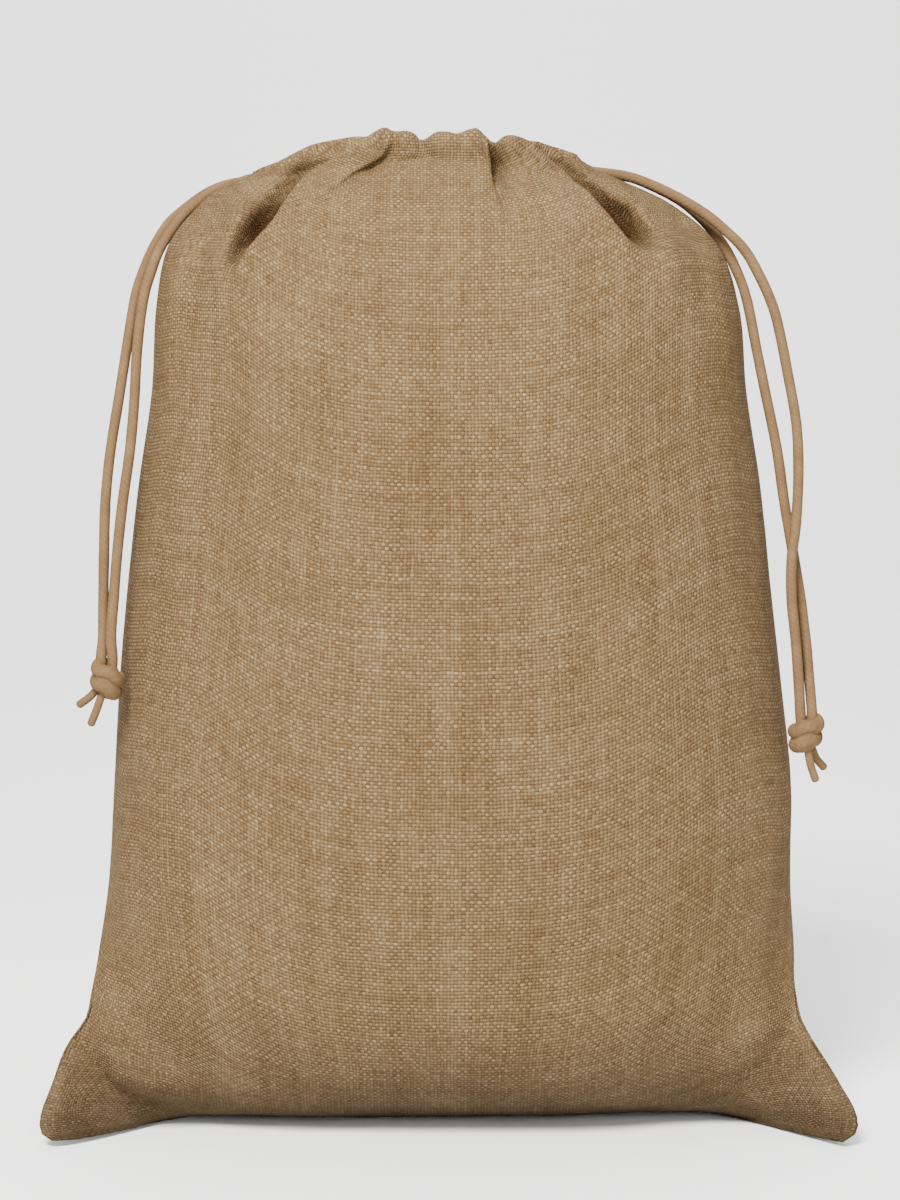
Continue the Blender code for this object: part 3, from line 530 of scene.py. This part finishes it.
def outer_face(side, across, cloth):
    """Outer face of a panel, its base normal and upward direction, its set-back and its lift."""
    point, normal, up = base_frame(side, across, cloth)
    x, z = point[..., 0], point[..., 2]
    set_back = np.zeros_like(x)
    move_x = np.zeros_like(x)
    move_z = np.zeros_like(x)
    for fold in FOLDS[side]:
        back, aside, upward, _ = fold_move(fold, x, z)
        set_back += back
        move_x += aside
        move_z += upward
    set_back -= swell_out(side, x, z) + roll_out(side, x, z)
    set_back *= ease(cloth / CALM_BOTTOM)
    section = section_values(cloth)
    edge_y = section.side_y + side * section.mouth
    room = np.maximum(side * (point[..., 1] - edge_y), 0.0) + FOLD_ROOM
    set_back = np.where(set_back > 0.0, room * np.tanh(set_back / room), set_back)
    gathered = ease(1.0 - (TOP - cloth) / PUFF_REACH)
    for place, reach, out in PUFFS[side]:
        set_back -= out * gathered * np.exp(-((x - place) / reach) ** 2)
    inward = 1.0 - np.abs(across)
    sides = ease(inward / SIDE_CALM)
    flat = across * 0.5 * FLAT_WIDTH
    uneven = unevenness(WAVES, side, flat, cloth) * sides * np.clip(cloth / EVEN_BOTTOM, 0.0, 1.0)
    fine = unevenness(FINE_WAVES, side, flat, cloth) * sides
    dip = SEAM_DIP * np.exp(-(inward / SEAM_REACH) ** 2) * ease((TOP - HEM_DEPTH - cloth) / SEAM_FADE)
    lift = uneven + fine - dip
    moved = point + normal * (CLOTH + lift)[..., None]
    moved[..., 0] += move_x * sides
    moved[..., 1] -= side * set_back * sides
    moved[..., 2] += move_z * sides
    return moved, normal, up, set_back * sides, lift


def deepest_nearby(values):
    """The largest value within CHANNEL_REACH columns of each, smoothed."""
    span = 2 * CHANNEL_REACH + 1
    padded = np.pad(values, CHANNEL_REACH, mode="edge")
    deepest = np.array([padded[step:step + span].max() for step in range(len(values))])
    window = np.hanning(span + 2)[1:-1]
    return np.convolve(np.pad(deepest, CHANNEL_REACH, mode="edge"), window / window.sum(), mode="valid")


def channel_set_back(side, across):
    """Smooth set-back of the hem's channel, behind every fold of the hem."""
    places = np.linspace(-1.0, 1.0, COLUMNS + 1)
    levels = [outer_face(side, places, np.full_like(places, TOP - share * CORD_LEVEL))[3]
              for share in CHANNEL_LEVELS]
    return np.interp(across, places, deepest_nearby(np.max(levels, axis=0)))


def channel_route(side, across):
    """Centre line of the cord in the hem."""
    level = np.full_like(across, TOP - CORD_LEVEL)
    _, normal, _, _, lift = outer_face(side, across, level)
    route = base_point(side, across, level) + normal * (lift - CHANNEL_HALF)[:, None]
    route[:, 1] -= side * channel_set_back(side, across)
    return route


def inner_layer(side, across):
    """Rows of the hem's inner layer from its top down, with their depths."""
    smooth_back = channel_set_back(side, across)
    depths = np.linspace(0.0, HEM_DEPTH + ALLOWANCE, INNER_ROWS)
    rows = []
    for depth in depths:
        cloth = np.full_like(across, TOP - depth)
        _, normal, _, set_back, lift = outer_face(side, across, cloth)
        closed = ease((depth - CHANNEL_DEPTH) / (HEM_DEPTH - CHANNEL_DEPTH))
        inward = CLOTH + 2.0 * CHANNEL_HALF + (STITCH_GAP - 2.0 * CHANNEL_HALF) * closed
        row = base_point(side, across, cloth) + normal * (lift - inward)[:, None]
        row[:, 1] -= side * np.maximum(deepest_nearby(set_back), smooth_back * (1.0 - closed))
        rows.append(row)
    return rows, depths


def panel_rows(side, across):
    """Rows of points from the bottom seam over the hem's fold and down the inner layer."""
    body = np.linspace(0.0, 1.0, BODY_ROWS, endpoint=False) ** BODY_CROWDING * SHOULDER
    lengths = np.concatenate([body, np.linspace(SHOULDER, TOP, SHOULDER_ROWS + 1)])
    grid_across, grid_cloth = np.meshgrid(across, lengths)
    outer, _, up, _, _ = outer_face(side, grid_across, grid_cloth)
    inner, depths = inner_layer(side, across)
    last, first = outer[-1], inner[0]
    edge = smooth_curve(TOP_EDGE[side], 6)
    steep = unit(up[-1] * (RISE_ASIDE, 1.0, 1.0))
    missing = np.interp(last[:, 0], edge[:, 0], edge[:, 1]) - 0.5 * (last[:, 2] + first[:, 2])
    rise = np.clip(missing / np.maximum(steep[:, 2], STEEPEST), *RISE_RANGE)
    rows = list(outer)
    for step in range(1, FOLD_ROWS):
        angle = math.pi * step / FOLD_ROWS
        rows.append(0.5 * (last + first) + 0.5 * (last - first) * math.cos(angle)
                    + steep * (rise * math.sin(angle))[:, None])
    rows += inner
    fold_marks = TOP + FOLD_LENGTH * np.arange(1, FOLD_ROWS) / FOLD_ROWS
    marks = np.concatenate([lengths, fold_marks, TOP + FOLD_LENGTH + depths])
    return np.array(rows), marks


def painted_crease_shade(side, across, lengths, count):
    """Painted shade of each point of the first rows, from 0 to 1, by how deep in a fold it lies."""
    grid_across, grid_cloth = np.meshgrid(across, np.minimum(lengths, TOP))
    point = base_point(side, grid_across, grid_cloth)
    total = np.zeros_like(grid_across)
    for fold in FOLDS[side]:
        total = np.maximum(total, fold_move(fold, point[..., 0], point[..., 2])[3])
    total[count:] = 0.0
    return total


def even_columns(side):
    """Values of across that are evenly spaced along the cloth at mid height."""
    across = np.linspace(-1.0, 1.0, 2001)
    distance = travelled(base_point(side, across, np.full_like(across, MID_HEIGHT)))
    return np.interp(np.linspace(0.0, distance[-1], COLUMNS + 1), distance, across)


def thread_places(points, marks):
    """Each point's place on the flat cloth, between an even layout and the built lengths."""
    distance = travelled(points, 1)
    middle = distance[:, COLUMNS // 2:COLUMNS // 2 + 1]
    u = (distance - middle) * np.clip(FLAT_WIDTH / distance[:, -1:], *DRAWN_RANGE)
    climbed = np.linalg.norm(np.diff(points, axis=0), axis=-1)
    climbed = np.minimum(climbed, CLIMB_MOST * np.diff(marks)[:, None])
    v = np.concatenate([np.zeros((1, points.shape[1])), np.cumsum(climbed, axis=0)], axis=0)
    return np.stack([u, BUILT_SHARE * v + (1.0 - BUILT_SHARE) * marks[:, None]], -1)


# ---------- meshes ----------
def new_object(name, data):
    thing = bpy.data.objects.new(name, data)
    bpy.context.scene.collection.objects.link(thing)
    return thing


def mesh_object(name, vertices, faces, uvs, material):
    """A smooth mesh object with one UV for each vertex, in metres."""
    mesh = bpy.data.meshes.new(name)
    mesh.from_pydata([tuple(vertex) for vertex in vertices], [], faces)
    layer = mesh.uv_layers.new(name="threads")
    loops = np.empty(len(mesh.loops), dtype=np.int32)
    mesh.loops.foreach_get("vertex_index", loops)
    layer.data.foreach_set("uv", np.asarray(uvs, dtype=np.float32)[loops].ravel())
    mesh.shade_smooth()
    mesh.materials.append(material)
    return new_object(name, mesh)


def grid_faces(rows, columns, closed=False):
    """Faces between rows of points, which go all the way round each row where it is closed."""
    faces = []
    for start in range(0, (rows - 1) * columns, columns):
        for here in range(columns if closed else columns - 1):
            following = (here + 1) % columns
            faces.append((start + here, start + following,
                          start + columns + following, start + columns + here))
    return faces


def make_panel(name, side, material):
    across = even_columns(side)
    points, marks = panel_rows(side, across)
    uvs = thread_places(points, marks).reshape(-1, 2)
    faces = grid_faces(len(points), COLUMNS + 1)
    if side == BACK:
        faces = [face[::-1] for face in faces]
    panel = mesh_object(name, points.reshape(-1, 3), faces, uvs, material)
    # painted shade of the folds' hollows, kept in the "crease" attribute that the cloth's colour reads
    shaded_rows = BODY_ROWS + SHOULDER_ROWS + 3
    shades = painted_crease_shade(side, across, marks, shaded_rows).ravel().astype(np.float32)
    panel.data.attributes.new("crease", "FLOAT", "POINT").data.foreach_set("value", shades)
    solid = panel.modifiers.new("thickness", "SOLIDIFY")
    solid.thickness = CLOTH
    solid.offset = -1.0
    return panel


def rounded_end(path, radii):
    """A path and its radii, with more points beyond the last one that make a round end."""
    heading = unit(path[-1] - path[-2])
    turn = 0.5 * math.pi * np.array([0.25, 0.5, 0.7, 0.85, 0.96])
    more = path[-1] + heading * (0.8 * radii[-1] * np.sin(turn))[:, None]
    return np.vstack([path, more]), np.concatenate([radii, radii[-1] * np.cos(turn)])


def tube_mesh(path, radii):
    """Vertices, faces and UVs of a round tube along a path, with a cord's girth in its UVs."""
    tangent = unit(np.gradient(path, axis=0))
    across = unit(np.cross(tangent[0], (0.0, 1.0, 0.2)))
    turn = 2.0 * math.pi * np.arange(TUBE_SIDES) / TUBE_SIDES
    rings = []
    uvs = []
    for place, heading, size, length in zip(path, tangent, radii, travelled(path)):
        across = unit(across - heading * np.dot(across, heading))
        other = np.cross(heading, across)
        rings.append(place + size * (np.cos(turn)[:, None] * across + np.sin(turn)[:, None] * other))
        uvs += [(angle * CORD_RADIUS, length) for angle in turn]
    faces = grid_faces(len(path), TUBE_SIDES, closed=True)
    faces.append(tuple(range(TUBE_SIDES))[::-1])
    faces.append(tuple((len(path) - 1) * TUBE_SIDES + step for step in range(TUBE_SIDES)))
    return np.vstack(rings), faces, uvs


# ---------- materials ----------
class Nodes:
    """Short calls for building one material's node tree."""

    def __init__(self, name):
        self.material = bpy.data.materials.new(name)
        self.material.use_nodes = True
        self.tree = self.material.node_tree
        self.shader = self.tree.nodes["Principled BSDF"]

    def feed(self, socket, value):
        """Set a socket to a number or a colour, or link another node's output to it."""
        if isinstance(value, (int, float, tuple)):
            socket.default_value = value
        else:
            self.tree.links.new(value, socket)

    def add(self, kind, inputs, **settings):
        """Outputs of a new node."""
        node = self.tree.nodes.new("ShaderNode" + kind)
        for key, value in settings.items():
            setattr(node, key, value)
        for socket, value in inputs.items():
            self.feed(node.inputs[socket], value)
        return node.outputs

    def math(self, operation, *values):
        return self.add("Math", dict(enumerate(values)), operation=operation)[0]

    plus = partialmethod(math, "ADD")
    minus = partialmethod(math, "SUBTRACT")
    times = partialmethod(math, "MULTIPLY")
    over = partialmethod(math, "DIVIDE")

    def vary(self, value, noise, amount, middle=0.5):
        """A value with a share of a noise added, counted from the noise's middle."""
        return self.plus(value, self.times(self.minus(noise, middle), amount))

    def vector(self, *values):
        return self.add("CombineXYZ", dict(enumerate(values)))[0]

    def split(self, vector):
        return self.add("SeparateXYZ", {0: vector})

    def noise(self, vector, scale, detail=2.0, roughness=0.5):
        inputs = {"Vector": vector, "Scale": scale, "Detail": detail, "Roughness": roughness}
        return self.add("TexNoise", inputs)["Fac"]

    def random(self, value):
        return self.add("TexWhiteNoise", {"W": value}, noise_dimensions="1D")["Value"]

    def blend(self, factor, first, second):
        """Number between two others."""
        return self.add("Mix", {0: factor, 2: first, 3: second}, data_type="FLOAT")[0]

    def tint(self, colour, by, factor=1.0):
        """A colour multiplied by another one, as far as the factor says."""
        inputs = {0: factor, 6: colour, 7: by}
        return self.add("Mix", inputs, data_type="RGBA", blend_type="MULTIPLY")[2]

    def ramp(self, factor, stops):
        node = self.tree.nodes.new("ShaderNodeValToRGB")
        elements = node.color_ramp.elements
        while len(elements) < len(stops):
            elements.new(1.0)
        for element, (place, colour) in zip(elements, stops):
            element.position = place
            element.color = (*colour, 1.0)
        self.feed(node.inputs["Fac"], factor)
        return node.outputs["Color"]

    def bump(self, height, distance, strength):
        inputs = {"Height": height, "Distance": distance, "Strength": strength}
        return self.add("Bump", inputs)["Normal"]

    def finish(self, colour, roughness, gloss):
        """The material, with its colour and finish set."""
        self.feed(self.shader.inputs["Base Color"], colour)
        self.feed(self.shader.inputs["Roughness"], roughness)
        self.feed(self.shader.inputs["Specular IOR Level"], gloss)
        return self.material


def burlap_material():
    """Plain weave of uneven threads, laid out in the panel's own UVs."""
    nodes = Nodes("burlap")
    uv = nodes.add("UVMap", {}, uv_map="threads")["UV"]
    u, v, _ = nodes.split(uv)
    aside = nodes.vector(nodes.plus(u, 3.7), nodes.plus(v, 1.9))
    s = nodes.vary(nodes.over(u, WARP_PITCH), nodes.noise(uv, WANDER_SCALE), THREAD_WANDER)
    t = nodes.vary(nodes.over(v, WEFT_PITCH), nodes.noise(aside, WANDER_SCALE), THREAD_WANDER)
    warp = nodes.math("FLOOR", s)
    weft = nodes.math("FLOOR", t)

    def slub(index, along, offset, stretch):
        """Slow changes along each thread."""
        place = nodes.vector(nodes.times(index, 7.31), nodes.times(along, stretch), offset)
        return nodes.noise(place, 1.0, 2.0, 0.6)

    def thread_height(index, across, along, rise, offset):
        """Height of one set of threads: round across, and passing over and under the other set."""
        half_width = nodes.plus(THREAD_HALF, nodes.times(slub(index, along, offset, 0.45), THREAD_SLUB))
        away = nodes.over(nodes.minus(nodes.math("FRACT", across), 0.5), half_width)
        round_top = nodes.minus(1.0, nodes.math("POWER", nodes.math("ABSOLUTE", away), 2.0))
        turn = nodes.minus(1.0, nodes.times(nodes.math("FLOORED_MODULO", index, 2.0), 2.0))
        wave = nodes.times(nodes.math("SINE", nodes.times(along, math.pi)), turn)
        return nodes.plus(nodes.math("MAXIMUM", round_top, -0.6), nodes.times(wave, rise))

    def thread_tone(index, along, offset):
        """Lightness of one set of threads: its own for each thread, and changing along it."""
        near = nodes.times(slub(index, along, offset, 0.40), NEAR_TONE)
        far = nodes.times(slub(index, along, offset + 2.0, 0.050), FAR_TONE)
        whole = nodes.times(nodes.random(nodes.plus(index, offset)), WHOLE_TONE)
        return nodes.plus(nodes.plus(near, far), whole)

    warp_height = thread_height(warp, s, t, THREAD_WAVE, 4.1)
    weft_height = thread_height(weft, t, s, -THREAD_WAVE, 8.7)
    height = nodes.over(nodes.plus(nodes.math("MAXIMUM", warp_height, weft_height), 0.3), 1.9)
    weft_shows = nodes.math("GREATER_THAN", weft_height, warp_height)
    pair = nodes.plus(nodes.times(warp, 57.13), nodes.times(weft, 3.71))
    cell = nodes.random(nodes.plus(pair, nodes.times(weft_shows, 0.5)))
    blotch = nodes.noise(uv, 22.0, 3.0, 0.55)
    band = nodes.noise(nodes.vector(nodes.times(u, 45.0), nodes.times(v, 4.0), 6.0), 1.0, 2.0, 0.6)
    tone = nodes.blend(weft_shows, thread_tone(warp, t, 0.37), thread_tone(weft, s, 11.53))
    tone = nodes.vary(tone, weft_shows, WEFT_LIGHTER, 0.45)
    for pattern, amount in ((cell, CELL_TONE), (blotch, BLOTCH_TONE), (band, BAND_TONE)):
        tone = nodes.vary(tone, pattern, amount)
    threads = nodes.ramp(tone, (
        (0.20, (0.070, 0.0385, 0.0156)),
        (0.42, (0.104, 0.0645, 0.0292)),
        (0.60, (0.145, 0.0962, 0.0470)),
        (0.84, (0.212, 0.1570, 0.0870)),
    ))
    # painted shade: the colour is darker where the threads dip and in the gaps between them
    painted_weave_shade = nodes.ramp(height, (
        (0.05, (0.30, 0.24, 0.18)),
        (0.45, (0.66, 0.62, 0.58)),
        (0.85, (1.00, 1.00, 1.00)),
    ))
    # painted shade: the colour darkens deep in the folds' hollows, as the "crease" attribute says
    crease = nodes.add("Attribute", {}, attribute_name="crease")["Fac"]
    colour = nodes.tint(nodes.tint(threads, painted_weave_shade), CREASE_SHADE_COLOUR, crease)
    # painted shade near the floor: the colour is darker and greyer toward the bottom
    level = nodes.split(nodes.add("TexCoord", {})["Object"])[2]
    painted_floor_shade = nodes.ramp(nodes.over(nodes.vary(level, blotch, FLOOR_SHADE_EDGE), FLOOR_SHADE_HEIGHT), (
        (0.05, (0.52, 0.54, 0.60)),
        (0.45, (0.80, 0.82, 0.87)),
        (1.00, (1.00, 1.00, 1.00)),
    ))
    fibre = nodes.blend(weft_shows, nodes.noise(nodes.vector(nodes.times(s, 7.0), t), 1.0),
                        nodes.noise(nodes.vector(s, nodes.times(t, 7.0)), 1.0))
    relief = nodes.plus(height, nodes.times(fibre, 0.25))
    nodes.feed(nodes.shader.inputs["Normal"], nodes.bump(relief, 0.0009, 0.8))
    return nodes.finish(nodes.tint(colour, painted_floor_shade), 0.88, 0.06)


def cord_material():
    """Smooth cotton-like cord with a faint twist and a little fuzz."""
    nodes = Nodes("cord")
    u, v, _ = nodes.split(nodes.add("UVMap", {}, uv_map="threads")["UV"])
    turn = nodes.over(u, 2.0 * math.pi * CORD_RADIUS)
    twist = nodes.plus(nodes.times(turn, 4.0), nodes.over(v, 0.0026))
    strand = nodes.math("SINE", nodes.times(nodes.math("FRACT", twist), math.pi))
    place = nodes.add("TexCoord", {})["Object"]
    patch = nodes.noise(place, 120.0, 3.0, 0.6)
    fuzz = nodes.noise(place, 1400.0, 3.0, 0.6)
    tone = nodes.plus(nodes.times(patch, 0.55), nodes.times(fuzz, 0.30))
    # painted shade: the twist's grooves are a little darker in the colour
    colour = nodes.ramp(nodes.plus(tone, nodes.times(strand, 0.10)), (
        (0.25, (0.082, 0.045, 0.019)),
        (0.55, (0.122, 0.073, 0.034)),
        (0.80, (0.170, 0.108, 0.055)),
    ))
    relief = nodes.plus(nodes.times(strand, 0.5), fuzz)
    nodes.feed(nodes.shader.inputs["Normal"], nodes.bump(relief, 0.0003, 0.6))
    return nodes.finish(colour, 0.8, 0.08)


# ---------- cords and knots ----------
def make_strand(name, points, radius, material):
    """A cord with a round end, and the path that its middle follows."""
    path = smooth_curve(points, 3)
    distance = travelled(path)
    wave = value_noise(distance / CORD_SWING, np.full_like(distance, 0.5), len(name))
    mesh = tube_mesh(*rounded_end(path, radius * (1.0 + CORD_UNEVEN * wave)))
    return mesh_object(name, *mesh, material), path


def make_knot(name, centre, lean, material):
    """Turns of cord wound tightly round the strands, and the fuller cord inside them."""
    share = np.linspace(0.0, 1.0, KNOT_POINTS)
    turn = 2.0 * math.pi * KNOT_TURNS * share + math.radians(KNOT_START)
    side = 1.0 if lean > 0.0 else -1.0
    x = KNOT_COIL * np.cos(turn) * side * (1.0 + 0.10 * np.sin(2.0 * math.pi * share + 0.6))
    y = KNOT_FLAT * KNOT_COIL * np.sin(turn)
    z = (0.5 - share) * KNOT_TURNS * KNOT_RISE + 0.0006 * np.sin(3.0 * turn)
    tilt = math.radians(lean)
    coil = np.stack([x * math.cos(tilt) + z * math.sin(tilt), y,
                     z * math.cos(tilt) - x * math.sin(tilt)], -1)
    thick = KNOT_WRAP * (1.0 + 0.07 * np.sin(5.0 * share * math.pi + 0.5))
    core = smooth_curve([(0.0, 0.0, 0.007), (0.0, 0.0, 0.002), (0.0006 * side, 0.0, -0.003),
                         (0.001 * side, 0.0, -0.008)], 8)
    swell = np.sin(np.linspace(0.12, 0.94, len(core)) * math.pi) ** 0.5
    vertices, faces, uvs = [], [], []
    for path, radii in ((coil, thick), (core, KNOT_CORE * swell)):
        part_vertices, part_faces, part_uvs = tube_mesh(path + np.array(centre), radii)
        start = len(vertices)
        vertices += list(part_vertices)
        faces += [tuple(start + index for index in face) for face in part_faces]
        uvs += part_uvs
    return mesh_object(name, vertices, faces, uvs, material)


# ---------- stage ----------
def make_stage():
    """A pale floor that curves up into a backdrop."""
    profile = [(FLOOR_START, 0.0), (WALL_START, 0.0)]
    for step in range(1, 13):
        angle = 0.5 * math.pi * step / 12
        profile.append((WALL_START + WALL_BEND * math.sin(angle), WALL_BEND * (1.0 - math.cos(angle))))
    profile.append((WALL_START + WALL_BEND, WALL_TOP))
    vertices = [(x, y, z) for y, z in profile for x in (-STAGE_HALF, STAGE_HALF)]
    material = Nodes("pale_floor").finish((0.86, 0.86, 0.86, 1.0), 0.9, 0.1)
    return mesh_object("floor", vertices, grid_faces(len(profile), 2), [(0.0, 0.0)] * len(vertices),
                       material)


def aim(thing, place, target):
    """Turn a light so that it looks at a point."""
    forward = unit(np.subtract(target, place))
    thing.location = place
    thing.rotation_euler = (math.acos(-forward[2]), 0.0, math.atan2(-forward[0], forward[1]))


def make_light_and_camera():
    camera = new_object("camera", bpy.data.cameras.new("camera"))
    camera.data.lens = CAMERA_LENS
    camera.location = CAMERA_PLACE
    camera.rotation_euler = (math.radians(90.0 - CAMERA_PITCH), 0.0, 0.0)
    bpy.context.scene.camera = camera
    for light in LIGHTS:
        data = bpy.data.lights.new(light.name, "AREA")
        data.size = light.size
        data.energy = light.power
        data.color = light.colour
        aim(new_object(light.name, data), light.place, light.target)
    world = bpy.data.worlds.new("studio")
    world.use_nodes = True
    background = world.node_tree.nodes["Background"]
    background.inputs["Color"].default_value = WORLD_COLOUR
    background.inputs["Strength"].default_value = WORLD_STRENGTH
    bpy.context.scene.world = world


# ---------- the dressed sack ----------
def dress(piece, node):
    """Put a piece on the sack in the place of its solid, which is hidden."""
    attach(piece, "root")
    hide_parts(node)


def main():
    make_light_and_camera()
    make_stage()
    burlap = burlap_material()
    cord = cord_material()
    for name, side in (("front_panel", FRONT), ("back_panel", BACK)):
        panel = make_panel(name + "_cloth", side, burlap)
        dress(panel, name)
    for name, side in (("front", FRONT), ("back", BACK)):
        name = "drawstring_" + name + "_in_hem"
        route = channel_route(side, np.linspace(*RUN_ENDS, RUN_POINTS))
        run, _ = make_strand(name + "_cord", route, CORD_RADIUS, cord)
        dress(run, name)
    for end, centre in KNOTS.items():
        knot = make_knot("knot_" + end + "_wraps", centre, KNOT_LEAN[end], cord)
        dress(knot, "knot_" + end)
        for side in ("front", "back"):
            name = "tail_" + side + "_" + end
            tail, _ = make_strand(name + "_cord", TAILS[side, end], TAIL_RADIUS, cord)
            dress(tail, name)
            name = "drawstring_" + side + "_" + end
            strand, path = make_strand(name + "_cord", STRANDS[side, end], CORD_RADIUS, cord)
            dress(strand, name)
            float(travelled(path)[-1])


main()
